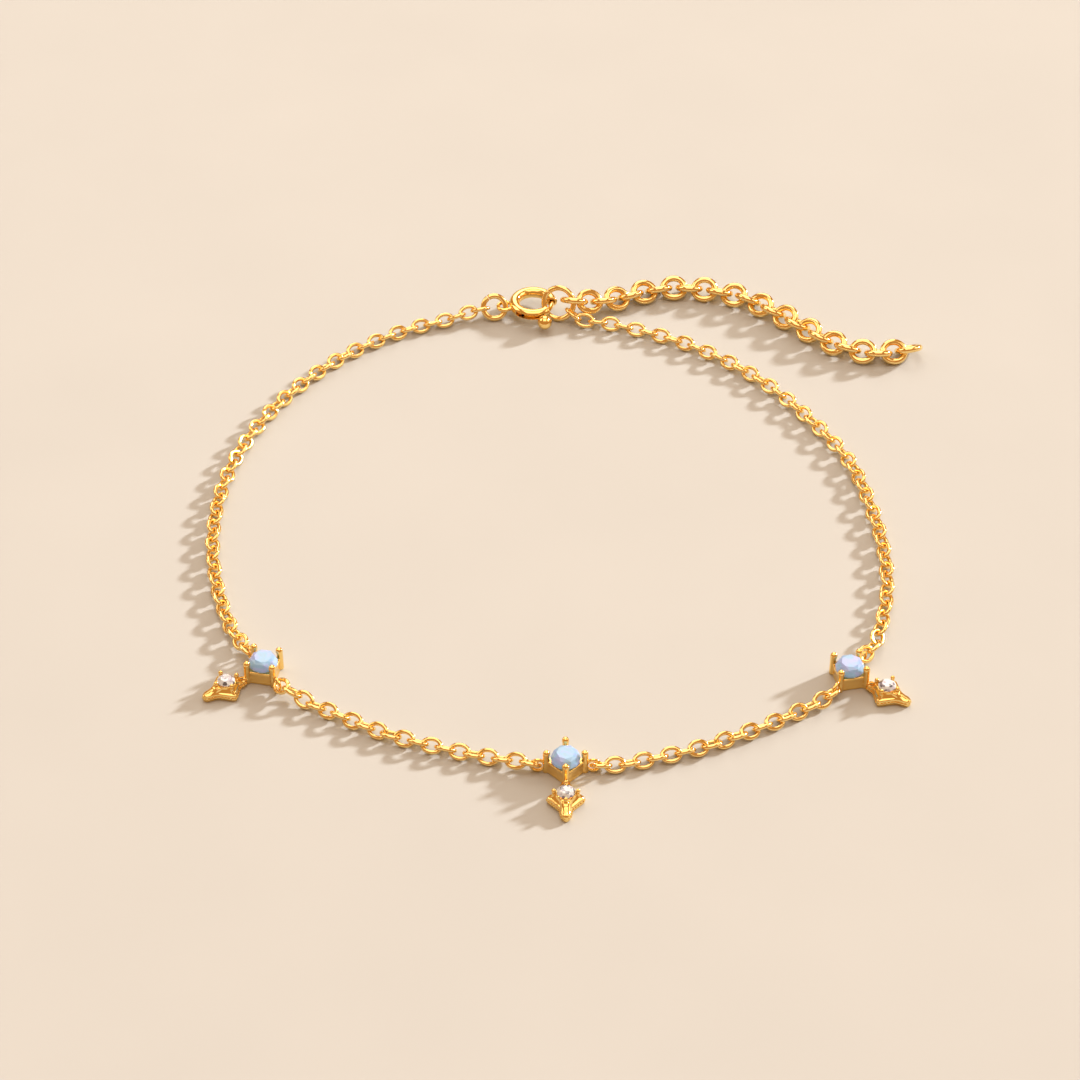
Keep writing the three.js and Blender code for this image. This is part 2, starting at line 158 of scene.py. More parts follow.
RIDGE_SHORT, RIDGE_LOW, RIDGE_THIN = 0.14, 0.57, 0.09
BEAD_REACH = 0.89
BEAD_SECTION = [
    # radius and height of the bead, from inside the star up
    (0.15, 0.5), (0.14, 1.0), (0.152, 1.1), (0.182, 1.2), (0.175, 1.29), (0.12, 1.38), (0.05, 1.42),
]
GRAIN_RADIUS, GRAIN_STEP, GRAIN_SHARE, GRAIN_HEIGHT = 0.15, 0.26, 0.95, 0.30
COMPASS = [(1, 0), (0, 1), (-1, 0), (0, -1)]
CASTING_GRAIN = 0.03  # cell of the skin that fuses the shells


def loft(rings):
    """Closed skin over rings of equal point counts, from the lowest up, with a face at each end."""
    count = len(rings[0])
    verts = [Vector(point) for ring in rings for point in ring]
    faces = []
    for low in range(0, (len(rings) - 1) * count, count):
        for k in range(count):
            after = (k + 1) % count
            faces.append((low + k, low + after, low + count + after, low + count + k))
    faces.append(tuple(reversed(range(count))))
    faces.append(tuple(range(len(verts) - count, len(verts))))
    return verts, faces


def circle(x, y, height, radius, sides):
    turns = [2 * math.pi * k / sides for k in range(sides)]
    return [(x + radius * math.cos(a), y + radius * math.sin(a), height) for a in turns]


def ring_shell(half_length, half_width, wire, steps=40, sides=14):
    """Closed oval of round wire in the XY plane, about the origin."""
    verts = []
    for k in range(steps):
        a = 2 * math.pi * k / steps
        middle = Vector((half_length * math.cos(a), half_width * math.sin(a), 0))
        out = Vector((half_width * math.cos(a), half_length * math.sin(a), 0)).normalized()
        for j in range(sides):
            b = 2 * math.pi * j / sides
            verts.append(middle + wire * (math.cos(b) * out + math.sin(b) * Vector((0, 0, 1))))
    faces = []
    for k in range(steps):
        for j in range(sides):
            here, beside = k * sides + j, k * sides + (j + 1) % sides
            ahead = ((k + 1) % steps) * sides
            faces.append((here, ahead + j, ahead + (j + 1) % sides, beside))
    return verts, faces


def moved(shell, matrix):
    return [matrix @ v for v in shell[0]], shell[1]


def joined(shells):
    verts, faces = [], []
    for shell_verts, shell_faces in shells:
        start = len(verts)
        verts += shell_verts
        faces += [tuple(start + i for i in face) for face in shell_faces]
    mesh = bpy.data.meshes.new("shells")
    mesh.from_pydata(verts, [], faces)
    return mesh


def fused(shells, grain, cuts=()):
    """Closed shells melted into one skin, less the cuts, as solder and polishing leave them."""
    shape = bpy.data.objects.new("fused", joined(shells))
    bpy.context.scene.collection.objects.link(shape)
    skin = shape.modifiers.new("skin", "REMESH")
    skin.mode = "VOXEL"
    skin.voxel_size = grain
    cutters = []
    for cut in cuts:
        cutter = bpy.data.objects.new("cutter", joined([cut]))
        bpy.context.scene.collection.objects.link(cutter)
        cutters.append(cutter)
        removal = shape.modifiers.new("cut", "BOOLEAN")
        removal.operation = "DIFFERENCE"
        removal.solver = "EXACT"
        removal.object = cutter
    if cutters:
        again = shape.modifiers.new("skin_again", "REMESH")
        again.mode = "VOXEL"
        again.voxel_size = grain
    soften = shape.modifiers.new("soften", "SMOOTH")
    soften.factor = 0.5
    soften.iterations = 5
    graph = bpy.context.evaluated_depsgraph_get()
    mesh = bpy.data.meshes.new_from_object(shape.evaluated_get(graph))
    for spent in [shape, *cutters]:
        bpy.data.objects.remove(spent)
    return mesh


def add_piece(name, mesh, material, body, node, smooth=True):
    """Puts a mesh made in millimetres in the scene, in place of its plain solid."""
    mesh.name = name
    mesh.transform(Matrix.Scale(MM, 4))
    mesh.materials.clear()
    mesh.materials.append(material)
    mesh.polygons.foreach_set("use_smooth", [smooth] * len(mesh.polygons))
    mesh.update()
    made = bpy.data.objects.new(name, mesh)
    bpy.context.scene.collection.objects.link(made)
    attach(made, body)
    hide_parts(node)
    return made


def diamond(reach, height, sides=64):
    """Square with its corners on the axes."""
    ring = []
    for k in range(sides):
        a = 2 * math.pi * k / sides
        far = reach / (abs(math.cos(a)) + abs(math.sin(a)))
        ring.append((far * math.cos(a), far * math.sin(a), height))
    return ring


def star(share, height, steps=4):
    """Star outline, smooth through the points of its four quarters."""
    half = STAR_QUARTER + [(0, 1)] + [(-across, along) for across, along in STAR_QUARTER[:0:-1]]
    marks = []
    for across, along in half + [(-across, -along) for across, along in half]:
        arm = STAR_ARMS["inner"] if along > 0 else STAR_ARMS["outer"]
        x, y = share * across * STAR_ARMS["side"], share * along * arm - STAR_REACH
        marks.append(Vector((x, y, height)))
    ring = []
    for k in range(len(marks)):
        before, near, far, after = (marks[(k + j) % len(marks)] for j in (-1, 0, 1, 2))
        for step in range(steps):
            w = step / steps
            bend = 2 * before - 5 * near + 4 * far - after
            twist = 3 * (near - far) + after - before
            ring.append(near + 0.5 * (w * (far - before) + w * w * bend + w ** 3 * twist))
    return ring


def between(low, high, share, height):
    """Ring part of the way from one ring to another."""
    return [(*Vector(a).lerp(Vector(b), share).xy, height) for a, b in zip(low, high)]


def ball(centre, radius, steps=6, sides=10):
    x, y, z = centre
    rings = []
    for k in range(1, steps):
        a = math.pi * k / steps
        rings.append(circle(x, y, z - radius * math.cos(a), radius * math.sin(a), sides))
    return loft(rings)


def grains():
    """Fine beads in a row along the star's rim."""
    outline = star(GRAIN_SHARE, GRAIN_HEIGHT, 40)
    beads, gone = [], GRAIN_STEP
    for here, there in zip(outline, outline[1:] + outline[:1]):
        gone += (there - here).length
        if gone >= GRAIN_STEP:
            gone = 0
            beads.append(ball(here, GRAIN_RADIUS))
    return beads


def ridge(x, y, end):
    """Tapered ridge along one arm of the star, from the stone's collar down to the tip."""
    rings = []
    side, upward = Vector((-y, x, 0)), Vector((0, 0, 1))
    turns = [2 * math.pi * k / 12 for k in range(12)]
    for reach, height, radius in [(RIDGE_START, RIDGE_TOP, RIDGE_THICK), (end, RIDGE_LOW, RIDGE_THIN)]:
        middle = Vector((reach * x, reach * y - STAR_REACH, height))
        rings.append([middle + radius * (math.cos(a) * side + math.sin(a) * upward) for a in turns])
    return loft(rings)


def charm_shells():
    cup = [diamond(reach, height) for reach, height in CUP_SECTION]
    cup += [circle(0, 0, height, radius, 64) for radius, height in CUP_POCKET]
    rim = star(*STAR_SECTION[-1])
    seat = [circle(0, -STAR_REACH, height, radius, 96) for radius, height in SEAT_SECTION]
    body = [star(share, height) for share, height in STAR_SECTION]
    round_collar = circle(0, -STAR_REACH, COLLAR_HEIGHT, COLLAR_RADIUS, 96)
    star_collar = star(COLLAR_SHARE, COLLAR_HEIGHT)
    collar = between(star_collar, round_collar, COLLAR_ROUNDNESS, COLLAR_HEIGHT)
    body += [between(rim, collar, way, height) for way, height in STAR_SLOPE] + [collar, *seat]
    shells = [loft(cup), loft(body), *grains()]
    for x, y in COMPASS:
        prong = [circle(far * x, far * y, height, radius, 24) for far, radius, height in PRONG_SECTION]
        bead_x, bead_y = BEAD_REACH * x, BEAD_REACH * y - STAR_REACH
        bead = [circle(bead_x, bead_y, height, radius, 16) for radius, height in BEAD_SECTION]
        arm = STAR_ARMS["side"] if x else STAR_ARMS["inner"] if y > 0 else STAR_ARMS["outer"]
        shells += [loft(prong), loft(bead), ridge(x, y, arm - RIDGE_SHORT)]
    upright = Matrix.Rotation(math.pi / 2, 4, "X")
    for side in (-1, 1):
        place = Matrix.Translation((side * LOOP_REACH, 0, LOOP_HEIGHT)) @ upright
        shells.append(moved(ring_shell(LOOP_RADIUS, LOOP_RADIUS, LOOP_WIRE), place))
    neck = [circle(0, 0, far, NECK_RADIUS, 20) for far in (NECK_START, NECK_END)]
    shells.append(moved(loft(neck), Matrix.Translation((0, 0, NECK_HEIGHT)) @ upright))
    return shells


def value_group(name, values, outputs):
    """Empty shader node group with named inputs and outputs."""
    group = bpy.data.node_groups.new(name, "ShaderNodeTree")
    for label, kind, start in values:
        socket = group.interface.new_socket(label, in_out="INPUT", socket_type=kind)
        socket.default_value = start
    for label, kind in outputs:
        group.interface.new_socket(label, in_out="OUTPUT", socket_type=kind)
    return group, group.nodes.new("NodeGroupInput"), group.nodes.new("NodeGroupOutput")


def polish_group():
    """Tone, polish and fine hairlines of worn precious metal. The deep tone is mixed in at random, and
    painted in as shade where the surface is recessed.
    """
    group, given, result = value_group(
        "polish_wear_and_hollow_shade",
        [
            ("Light Tone", "NodeSocketColor", (1, 1, 1, 1)),
            ("Deep Tone", "NodeSocketColor", (1, 1, 1, 1)),
            ("Smoothest", "NodeSocketFloat", 0.08),
            ("Roughest", "NodeSocketFloat", 0.2),
        ],
        [("Color", "NodeSocketColor"), ("Roughness", "NodeSocketFloat"), ("Height", "NodeSocketFloat")],
    )
    nodes, link = group.nodes, group.links.new
    place = nodes.new("ShaderNodeTexCoord")
    cloud = nodes.new("ShaderNodeTexNoise")
    cloud.inputs["Scale"].default_value = 700
    cloud.inputs["Detail"].default_value = 3
    link(place.outputs["Object"], cloud.inputs["Vector"])
    hair = nodes.new("ShaderNodeTexNoise")
    hair.inputs["Scale"].default_value = 5200
    hair.inputs["Detail"].default_value = 5
    hair.inputs["Distortion"].default_value = 1.4
    link(place.outputs["Object"], hair.inputs["Vector"])
    # Painted shade: the less pointed, recessed parts of the surface take more of the deep tone.
    form = nodes.new("ShaderNodeNewGeometry")
    hollow_shade = nodes.new("ShaderNodeMapRange")
    hollow_shade.inputs["From Min"].default_value = 0.5
    hollow_shade.inputs["From Max"].default_value = 0.40
    link(form.outputs["Pointiness"], hollow_shade.inputs["Value"])
    # Share of the deep tone: random tone from the cloud noise, plus the painted shade of the recesses.
    tone_and_shade = nodes.new("ShaderNodeMath")
    tone_and_shade.operation = "MULTIPLY_ADD"
    tone_and_shade.inputs[1].default_value = 0.45
    link(cloud.outputs["Fac"], tone_and_shade.inputs[0])
    link(hollow_shade.outputs["Result"], tone_and_shade.inputs[2])
    tone = nodes.new("ShaderNodeMix")
    tone.data_type = "RGBA"
    link(tone_and_shade.outputs["Value"], tone.inputs["Factor"])
    link(given.outputs["Light Tone"], tone.inputs["A"])
    link(given.outputs["Deep Tone"], tone.inputs["B"])
    link(tone.outputs["Result"], result.inputs["Color"])
    rough = nodes.new("ShaderNodeMapRange")
    rough.inputs["From Min"].default_value = 0.35
    rough.inputs["From Max"].default_value = 0.7
    link(hair.outputs["Fac"], rough.inputs["Value"])
    link(given.outputs["Smoothest"], rough.inputs["To Min"])
    link(given.outputs["Roughest"], rough.inputs["To Max"])
    link(rough.outputs["Result"], result.inputs["Roughness"])
    link(hair.outputs["Fac"], result.inputs["Height"])
    return group


polish_wear_and_hollow_shade = polish_group()


def gold(name, light, deep, smoothest, roughest):
    material = bpy.data.materials.new(name)
    material.use_nodes = True
    nodes, link = material.node_tree.nodes, material.node_tree.links.new
    metal = nodes["Principled BSDF"]
    metal.inputs["Metallic"].default_value = 1
    polish = nodes.new("ShaderNodeGroup")
    polish.node_tree = polish_wear_and_hollow_shade
    polish.inputs["Light Tone"].default_value = light
    polish.inputs["Deep Tone"].default_value = deep
    polish.inputs["Smoothest"].default_value = smoothest
    polish.inputs["Roughest"].default_value = roughest
    relief = nodes.new("ShaderNodeBump")
    relief.inputs["Strength"].default_value = 0.06
    relief.inputs["Distance"].default_value = 0.00002
    link(polish.outputs["Color"], metal.inputs["Base Color"])
    link(polish.outputs["Roughness"], metal.inputs["Roughness"])
    link(polish.outputs["Height"], relief.inputs["Height"])
    link(relief.outputs["Normal"], metal.inputs["Normal"])
    return material


# The light tone is the gold's own colour. The deep tone is a darker, more orange gold, used as random
# tone and as painted shade in recesses.
cast_gold = gold("cast_gold", (1.0, 0.75, 0.29, 1), (0.90, 0.48, 0.09, 1), 0.04, 0.12)


def stand(charm):
    """Place of a charm's own frame on the table."""
    (x, y), turn = CHARMS[charm]
    return Matrix.Translation((x, y, 0)) @ Matrix.Rotation(math.radians(turn), 4, "Z")


charm_mesh = fused(charm_shells(), CASTING_GRAIN)
for side in CHARMS:
    mesh = charm_mesh.copy()
    mesh.transform(stand(side))
    add_piece(side + "_charm", mesh, cast_gold, "bracelet", "charm_" + side)
bpy.data.meshes.remove(charm_mesh)

# Opals: a round, milky, pale blue stone cut with a table and sloping facets, sitting in each
# square cup and held by the four prongs. Lilac and aqua fire shows inside it, and the stone
# glows faintly in these colours, which is painted light.
OPAL = {
    "girdle": 1.12, "low": 1.30, "high": 1.48, "table": 0.68, "top": 2.0, "bottom": 0.72,
    "shoulder": 0.6, "swell": 0.095,
}


def brilliant(cut):
    """Round brilliant: table, star, main and half facets above the girdle, kites and halves below."""
    eighth = math.pi / 4
    half = math.cos(eighth / 2)
    crown_slope = (cut["top"] - cut["high"]) / (cut["girdle"] - cut["table"])
    crown_reach = cut["table"] + cut["shoulder"] * (cut["girdle"] - cut["table"])
    back_slope = (cut["low"] - cut["bottom"]) / cut["girdle"]
    back_reach = 0.3 * cut["girdle"]
    crown_height = cut["top"] - (crown_reach * half - cut["table"]) * crown_slope + cut["swell"]
    back_height = cut["bottom"] + back_reach * half * back_slope
    rows = [
        # radius, height, turn of the first point in eighths, points
        (cut["table"], cut["top"], 0, 8),
        (crown_reach, crown_height, 0.5, 8),
        (cut["girdle"], cut["high"], 0, 16),
        (cut["girdle"], cut["low"], 0, 16),
        (back_reach, back_height, 0.5, 8),
    ]
    verts = []
    for radius, height, start, points in rows:
        for k in range(points):
            a = start * eighth + 2 * math.pi * k / points
            verts.append(Vector((radius * math.cos(a), radius * math.sin(a), height)))
    culet = len(verts)
    verts.append(Vector((0, 0, cut["bottom"])))
    table, crown, high, low, back = 0, 8, 16, 32, 48
    faces = [tuple(range(8))]
    for k in range(8):
        after, before = (k + 1) % 8, (k - 1) % 8
        main, half_way, main_after = 2 * k, 2 * k + 1, (2 * k + 2) % 16
        faces += [
            (table + k, crown + k, table + after),
            (table + k, crown + before, crown + k),
            (crown + before, high + main, crown + k),
            (crown + k, high + main, high + half_way),
            (crown + k, high + half_way, high + main_after),
            (high + main, low + main, low + half_way, high + half_way),
            (high + half_way, low + half_way, low + main_after, high + main_after),
            (culet, back + k, low + main, back + before),
            (back + k, low + half_way, low + main),
            (back + k, low + main_after, low + half_way),
        ]
    return verts, faces


def opal_material():
    material = bpy.data.materials.new("milky_opal")
    material.use_nodes = True
    nodes, link = material.node_tree.nodes, material.node_tree.links.new
    stone = nodes["Principled BSDF"]
    stone.inputs["Roughness"].default_value = 0.1
    stone.inputs["IOR"].default_value = 1.46
    stone.inputs["Coat Weight"].default_value = 0.7
    stone.inputs["Coat Roughness"].default_value = 0.03
    # Painted light: the stone glows in its own fire colours, which lifts its darker facets.
    stone.inputs["Emission Strength"].default_value = 0.36
    place = nodes.new("ShaderNodeTexCoord")
    fire = nodes.new("ShaderNodeTexNoise")
    fire.inputs["Scale"].default_value = 900
    fire.inputs["Detail"].default_value = 2
    fire.inputs["Distortion"].default_value = 0.8
    link(place.outputs["Object"], fire.inputs["Vector"])
    fire_colour_and_glow = nodes.new("ShaderNodeValToRGB")
    fire_colour_and_glow.color_ramp.elements[0].position = 0.3
    fire_colour_and_glow.color_ramp.elements[0].color = (0.22, 0.35, 0.49, 1)
    fire_colour_and_glow.color_ramp.elements[1].position = 0.72
    fire_colour_and_glow.color_ramp.elements[1].color = (0.31, 0.34, 0.57, 1)
    for position, colour in [(0.42, (0.21, 0.37, 0.55, 1)), (0.55, (0.26, 0.34, 0.58, 1))]:
        fire_colour_and_glow.color_ramp.elements.new(position).color = colour
    link(fire.outputs["Fac"], fire_colour_and_glow.inputs["Fac"])
    link(fire_colour_and_glow.outputs["Color"], stone.inputs["Base Color"])
    link(fire_colour_and_glow.outputs["Color"], stone.inputs["Emission Color"])
    return material


milky_opal = opal_material()
for side in CHARMS:
    mesh = joined([moved(brilliant(OPAL), stand(side))])
    add_piece(side + "_opal", mesh, milky_opal, "bracelet", "opal_" + side, smooth=False)

# Clear stones: a small colourless brilliant in the middle of each star, sunk in a bored seat
# and held by four beads of metal pushed over its edge.
CLEAR_STONE = {
    "girdle": 0.68, "low": 1.12, "high": 1.18, "table": 0.42, "top": 1.42, "bottom": 0.78,
    "shoulder": 0.5, "swell": 0.0,
}


def clear_material():
    material = bpy.data.materials.new("clear_stone")
    material.use_nodes = True
    nodes, link = material.node_tree.nodes, material.node_tree.links.new
    stone = nodes["Principled BSDF"]
    stone.inputs["Transmission Weight"].default_value = 0.3
    stone.inputs["IOR"].default_value = 2.1
    stone.inputs["Roughness"].default_value = 0.02
    # Painted light: the stone glows faintly in its spotted colours.
    stone.inputs["Emission Strength"].default_value = 0.09
    # Painted reflections: facet-sized spots running from near black through lilac to pale grey stand in
    # for the glints and dark facets that a cut stone mirrors.
    place = nodes.new("ShaderNodeTexCoord")
    painted_sparkle = nodes.new("ShaderNodeTexVoronoi")
    painted_sparkle.inputs["Scale"].default_value = 4300
    link(place.outputs["Object"], painted_sparkle.inputs["Vector"])
    lights = nodes.new("ShaderNodeValToRGB")
    lights.color_ramp.elements[0].position = 0.22
    lights.color_ramp.elements[0].color = (0.10, 0.10, 0.13, 1)
    lights.color_ramp.elements[1].position = 0.52
    lights.color_ramp.elements[1].color = (0.72, 0.75, 0.77, 1)
    lights.color_ramp.elements.new(0.36).color = (0.46, 0.42, 0.52, 1)
    link(painted_sparkle.outputs["Color"], lights.inputs["Fac"])
    link(lights.outputs["Color"], stone.inputs["Base Color"])
    link(lights.outputs["Color"], stone.inputs["Emission Color"])
    return material


clear_stone = clear_material()
for side in CHARMS:
    place = stand(side) @ Matrix.Translation((0, -STAR_REACH, 0))
    mesh = joined([moved(brilliant(CLEAR_STONE), place)])
    name = side + "_clear_stone"
    add_piece(name, mesh, clear_stone, "bracelet", "clear_stone_" + side, smooth=False)

# Fine chains: cable chain of nearly round soldered wire links, each turned across the one before,
# hooked through the charms' loops in front and through the clasp's two rings at the back.
FINE_LINK = {"width": 1.38, "wire": 0.167, "overlap": 0.06, "roll": 36, "twist": 9}
HOOKED_REACH, SIDE_START, CHAIN_HEIGHT = 1.95, 2.9, 0.52
ROUTES = {
    "front_left": [
        (-22.3, -19.3, 0.95), (-21.3, -19.9, 0.75), (-20.4, -20.5, 0.5), (-18.5, -21.6), (-14.7, -23.7),
        (-10.4, -25.3), (-6.4, -26.4), (-4.3, -27.05, 0.78),
    ],
    "front_right": [
        (3, -27.1), (6.1, -26.3), (9.4, -25.2), (14, -23), (17.1, -21.2), (18.75, -20.2, 0.7),
    ],
    "side_left": [
        (-27, -12), (-28.6, -6.4), (-29.25, -0.5), (-28.7, 6.2), (-26.8, 12.4), (-23.5, 18.2),
        (-19.3, 22.9), (-14.5, 26.2), (-11.3, 27.5, 0.55), (-8.4, 28.5, 0.95),
    ],
    "side_right": [
        (23, -14), (24.4, -8.5), (24.65, -3.5), (24.1, 2), (22.7, 8.2), (19.8, 13.8),
        (15.6, 19.5), (9.8, 24.2), (3.3, 27.05, 0.52), (0.7, 27.55, 0.65),
    ],
}
SIDE_ENDS = {"left": (-7.455, 28.70, 0.995), "right": (-0.505, 28.38, 1.107)}
UP = Vector((0, 0, 1))
CURVE_STEPS = 200
TWIST_STEP = 0.9  # radians from one link to the next, in the chain's slow twist
LINK_CLEAR = 0.01


class Route:
    """Smooth curve through a chain's points, measured along its own length."""

    def __init__(self, points):
        self.points = [Vector(point) for point in points]
        self.marks = [0.0]
        last = self.at(0)
        for k in range(1, CURVE_STEPS + 1):
            here = self.at(k / CURVE_STEPS)
            self.marks.append(self.marks[-1] + (here - last).length)
            last = here
        self.length = self.marks[-1]

    def at(self, t):
        points = self.points
        spans = len(points) - 1
        k = min(int(t * spans), spans - 1)
        w = t * spans - k
        near, far = points[k], points[k + 1]
        before = points[k - 1] if k else 2 * points[0] - points[1]
        after = points[k + 2] if k + 2 <= spans else 2 * points[-1] - points[-2]
        gap = [math.sqrt((b - a).length) for a, b in ((before, near), (near, far), (far, after))]
        leave = (near - before) / gap[0] - (far - before) / (gap[0] + gap[1]) + (far - near) / gap[1]
        arrive = (far - near) / gap[1] - (after - near) / (gap[1] + gap[2]) + (after - far) / gap[2]
        leave, arrive = leave * gap[1], arrive * gap[1]
        bend = 3 * (far - near) - 2 * leave - arrive
        return near + w * leave + w * w * bend + w ** 3 * (2 * (near - far) + leave + arrive)

    def place(self, distance):
        """Point and direction at a distance along the curve."""
        k = 0
        while k < CURVE_STEPS - 1 and self.marks[k + 1] < distance:
            k += 1
        t = (k + (distance - self.marks[k]) / (self.marks[k + 1] - self.marks[k])) / CURVE_STEPS
        t = min(max(t, 0), 1)
        step = 0.0001
        return self.at(t), (self.at(min(t + step, 1)) - self.at(max(t - step, 0))).normalized()


def chain_mesh(points, count, link, first_roll):
    """Links along a route, rolled left and right in turn, hooked and just clear of each other."""
    route = Route(points)
    spacing = (route.length - 2 * link["wire"] + link["overlap"]) / count
    centre = (spacing + 2 * link["wire"] - link["overlap"]) / 2
    half_length = spacing / 2 + link["wire"] + LINK_CLEAR
    half_width = link["width"] / 2 - link["wire"]
    ring = ring_shell(half_length, half_width, link["wire"], 36, 12)
    links = []
    for k in range(count):
        here, along = route.place(centre + k * spacing)
        across = UP.cross(along).normalized()
        twist = link["twist"] * math.sin(TWIST_STEP * k) * math.sin(math.pi * k / (count - 1))
        roll = math.radians(twist + (-first_roll if k % 2 else first_roll))
        across = Quaternion(along, roll) @ across
        turn = Matrix((along, across, along.cross(across))).transposed().to_4x4()
        links.append(moved(ring, Matrix.Translation(here) @ turn))
    return joined(links)


def charm_side(charm, side, reach):
    """Point on a charm's chain line, to its left (-1) or right (1)."""
    return stand(charm) @ Vector((side * reach, 0, LOOP_HEIGHT))


def on_table(route, height):
    return [Vector((*point, height)[:3]) for point in route]


# The deep tone is a darker, more orange gold, used as random tone and as painted shade in recesses.
drawn_gold = gold("drawn_gold", (1.0, 0.77, 0.34, 1), (0.92, 0.53, 0.12, 1), 0.05, 0.14)
FRONT_CHAINS = [
    # name, charm it leaves, charm it reaches, links, way the first link leans
    ("left", "left", "middle", 20, 1),
    ("right", "middle", "right", 19, -1),
]
for name, start, end, links, lean in FRONT_CHAINS:
    points = [charm_side(start, 1, HOOKED_REACH), *on_table(ROUTES["front_" + name], CHAIN_HEIGHT)]
    points.append(charm_side(end, -1, HOOKED_REACH))
    mesh = chain_mesh(points, links, FINE_LINK, lean * FINE_LINK["roll"])
    add_piece(name + "_front_chain", mesh, drawn_gold, "bracelet", "front_chain_" + name)

SIDE_CHAINS = [
    # charm it leaves, which side of it, links
    ("left", -1, 50),
    ("right", 1, 49),
]
for name, side, links in SIDE_CHAINS:
    points = [charm_side(name, side, HOOKED_REACH), charm_side(name, side, SIDE_START)]
    points += on_table(ROUTES["side_" + name], CHAIN_HEIGHT) + [Vector(SIDE_ENDS[name])]
    mesh = chain_mesh(points, links, FINE_LINK, FINE_LINK["roll"])
    add_piece(name + "_side_chain", mesh, drawn_gold, "bracelet", "side_chain_" + name)

# Clasp ring: a hollow round tube bent to a ring, open at its mouth, with a slot for the knob's
# stem in its edge and a small soldered eye that the jump ring holds.
CLASP = Vector((-3.5, 29.42, 1.0))
BODY_RADIUS, BODY_TUBE, BORE_TUBE, BOLT_TUBE = 1.64, 0.48, 0.29, 0.2
MOUTH_FAR, MOUTH_NEAR, SOCKET_END = 6, -44, 18
BOLT_TAIL, BOLT_TIP, BORE_END = -84, 13, -147
SLOT_FROM, SLOT_TO, SLOT_WIDTH, SLOT_DEPTH = -136, -62, 0.42, 0.66
EYE_ANGLE, EYE_REACH, EYE_RADIUS, EYE_WIRE = 190, 2.52, 0.58, 0.17


def arc_bar(radius, sections, sides=28):
    """Round bar bent about the clasp's axis; sections give its angle in degrees and thickness."""
    rings = []
    for degrees, thickness in sections:
        a = math.radians(degrees)
        out = Vector((math.cos(a), math.sin(a), 0))
        ring = []
        for j in range(sides):
            b = -2 * math.pi * j / sides
            ring.append(radius * out + thickness * (math.cos(b) * out + math.sin(b) * UP))
        rings.append(ring)
    return loft(rings)


def even(start, end, thickness, step=3):
    count = max(2, round(abs(end - start) / step))
    return [(start + (end - start) * k / count, thickness) for k in range(count + 1)]


def clasp_slot():
    """Curved block that opens the ring's outer edge along the knob's travel."""
    rings = []
    for degrees, _ in even(SLOT_FROM, SLOT_TO, 0):
        a = math.radians(degrees)
        out = Vector((math.cos(a), math.sin(a), 0))
        ring = []
        for far, high in [(0, -1), (0, 1), (1, 1), (1, -1)]:
            ring.append((BODY_RADIUS + SLOT_DEPTH * far) * out + SLOT_WIDTH / 2 * high * UP)
        rings.append(ring)
    return loft(rings)


MOUTH_LIP = [
    # degrees from the mouth, and radius of the tube there
    (0, 0.44), (1.2, 0.495), (4, 0.50), (6, BODY_TUBE),
]
far_lip = [(MOUTH_FAR + a, r) for a, r in MOUTH_LIP]
near_lip = [(360 + MOUTH_NEAR - a, r) for a, r in reversed(MOUTH_LIP)]
ring_body = arc_bar(BODY_RADIUS, far_lip + even(MOUTH_FAR + 9, 351 + MOUTH_NEAR, BODY_TUBE) + near_lip)
eye_angle = math.radians(EYE_ANGLE)
eye_place = Matrix.Translation((EYE_REACH * math.cos(eye_angle), EYE_REACH * math.sin(eye_angle), 0))
eye = moved(ring_shell(EYE_RADIUS, EYE_RADIUS, EYE_WIRE), eye_place)
bore = arc_bar(BODY_RADIUS, even(BORE_END, MOUTH_NEAR + 4, BORE_TUBE))
socket = arc_bar(BODY_RADIUS, even(MOUTH_FAR - 4, SOCKET_END, BORE_TUBE))
mesh = fused([ring_body, eye], CASTING_GRAIN, [bore, socket, clasp_slot()])
mesh.transform(Matrix.Translation(CLASP))
add_piece("clasp_spring_ring", mesh, cast_gold, "bracelet", "clasp_ring")

# Clasp lever: the curved bolt that a spring inside the ring keeps shut across the mouth, with
# the round knob on its stem that a fingertip pulls back along the slot.
KNOB_ANGLE, KNOB_REACH, KNOB_RADIUS, STEM_RADIUS = -70, 2.95, 0.62, 0.15
BOLT_NOSE = [
    # degrees from the tip, and radius of the bolt there
    (-1, 0.17), (0, 0.1),
]
BOLT_GRAIN = 0.025
nose = [(BOLT_TIP + a, r) for a, r in BOLT_NOSE]
bolt = arc_bar(BODY_RADIUS, even(BOLT_TAIL, BOLT_TIP - 3, BOLT_TUBE) + nose)
knob_turn = Matrix.Rotation(math.radians(KNOB_ANGLE), 4, "Z") @ Matrix.Rotation(math.pi / 2, 4, "Y")
stem = moved(loft([circle(0, 0, far, STEM_RADIUS, 16) for far in (BODY_RADIUS, KNOB_REACH)]), knob_turn)
knob = moved(ball((0, 0, KNOB_REACH), KNOB_RADIUS, 24, 32), knob_turn)
mesh = fused([bolt, stem, knob], BOLT_GRAIN)
mesh.transform(Matrix.Translation(CLASP))
add_piece("clasp_bolt", mesh, cast_gold, "clasp_lever", "clasp_lever")

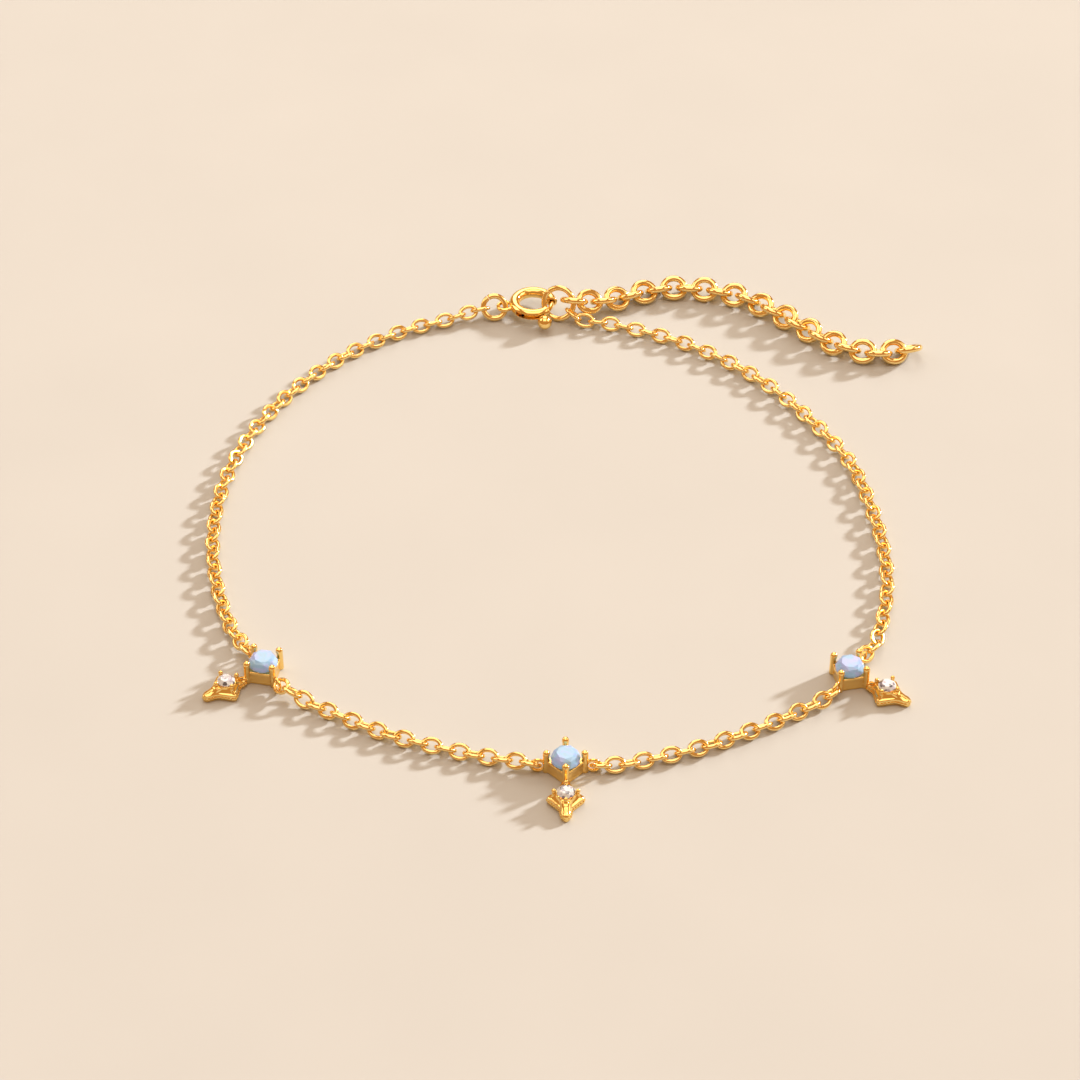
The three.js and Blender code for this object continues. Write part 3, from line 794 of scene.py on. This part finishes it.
# Rings at the clasp: round wire bent to a ring and closed on a fine butt joint. The jump ring
# ties the left chain to the clasp's eye, and the end ring takes the clasp and the right chain.
RING_WIRE = 0.24
RINGS = [
    # name, node, radius, distance and direction from the clasp, heading, lean and lift in degrees
    ("jump_ring", "clasp_jump_ring", 0.98, 3.44, 190, 10, 53, 0),
    ("end_ring_wire", "end_ring", 1.35, 2.3, -14, -9, 58, 20),
]
JOINT_AT, JOINT_HALF, JOINT_ROUND, JOINT_FACE = 118, 1.6, 0.8, 0.21
ring_places = {}
for name, node, radius, reach, direction, heading, lean, lift in RINGS:
    turn = (
        Matrix.Rotation(math.radians(heading), 4, "Z")
        @ Matrix.Rotation(-math.radians(lift), 4, "Y")
        @ Matrix.Rotation(math.radians(lean), 4, "X")
    )
    away = math.radians(direction)
    axis = turn @ UP
    height = RING_WIRE + radius * math.hypot(axis.x, axis.y)
    place = Vector((CLASP.x + reach * math.cos(away), CLASP.y + reach * math.sin(away), height))
    ring_places[name] = Matrix.Translation(place) @ turn
    ends = [(JOINT_HALF, JOINT_FACE), (JOINT_HALF + JOINT_ROUND, RING_WIRE)]
    sections = ends + even(5, 355, RING_WIRE) + [(360 - a, r) for a, r in reversed(ends)]
    wire = arc_bar(radius, [(a + JOINT_AT, r) for a, r in sections])
    mesh = joined([moved(wire, ring_places[name])])
    add_piece(name, mesh, drawn_gold, "bracelet", node)

# Extension chain: a short run of coarser round links from the end ring, lying free on the table,
# any of which the clasp can take to make the bracelet longer.
COARSE_LINK = {"width": 2.32, "wire": 0.278, "overlap": 0.15, "roll": 35, "twist": 5}
EXTENSION_LINKS, EXTENSION_HEIGHT = 25, 0.83
EXTENSION = [
    (1.4, 29, 1.5), (3.8, 30.1, 1), (6.3, 31.3), (9, 31.9), (11.9, 31.6), (14.9, 30.5),
    (17.4, 28.6), (19.6, 26.6), (21.7, 24.5), (23.7, 23.2), (26.2, 22.5), (29.7, 23.3),
]
HOLD_RADIUS, HOLD_ANGLE = 0.6, math.radians(20)
hold = HOLD_RADIUS * Vector((math.cos(HOLD_ANGLE), math.sin(HOLD_ANGLE), 0))
points = [ring_places["end_ring_wire"] @ hold, *on_table(EXTENSION, EXTENSION_HEIGHT)]
mesh = chain_mesh(points, EXTENSION_LINKS, COARSE_LINK, -COARSE_LINK["roll"])
add_piece("extension_links", mesh, drawn_gold, "bracelet", "extension_chain")
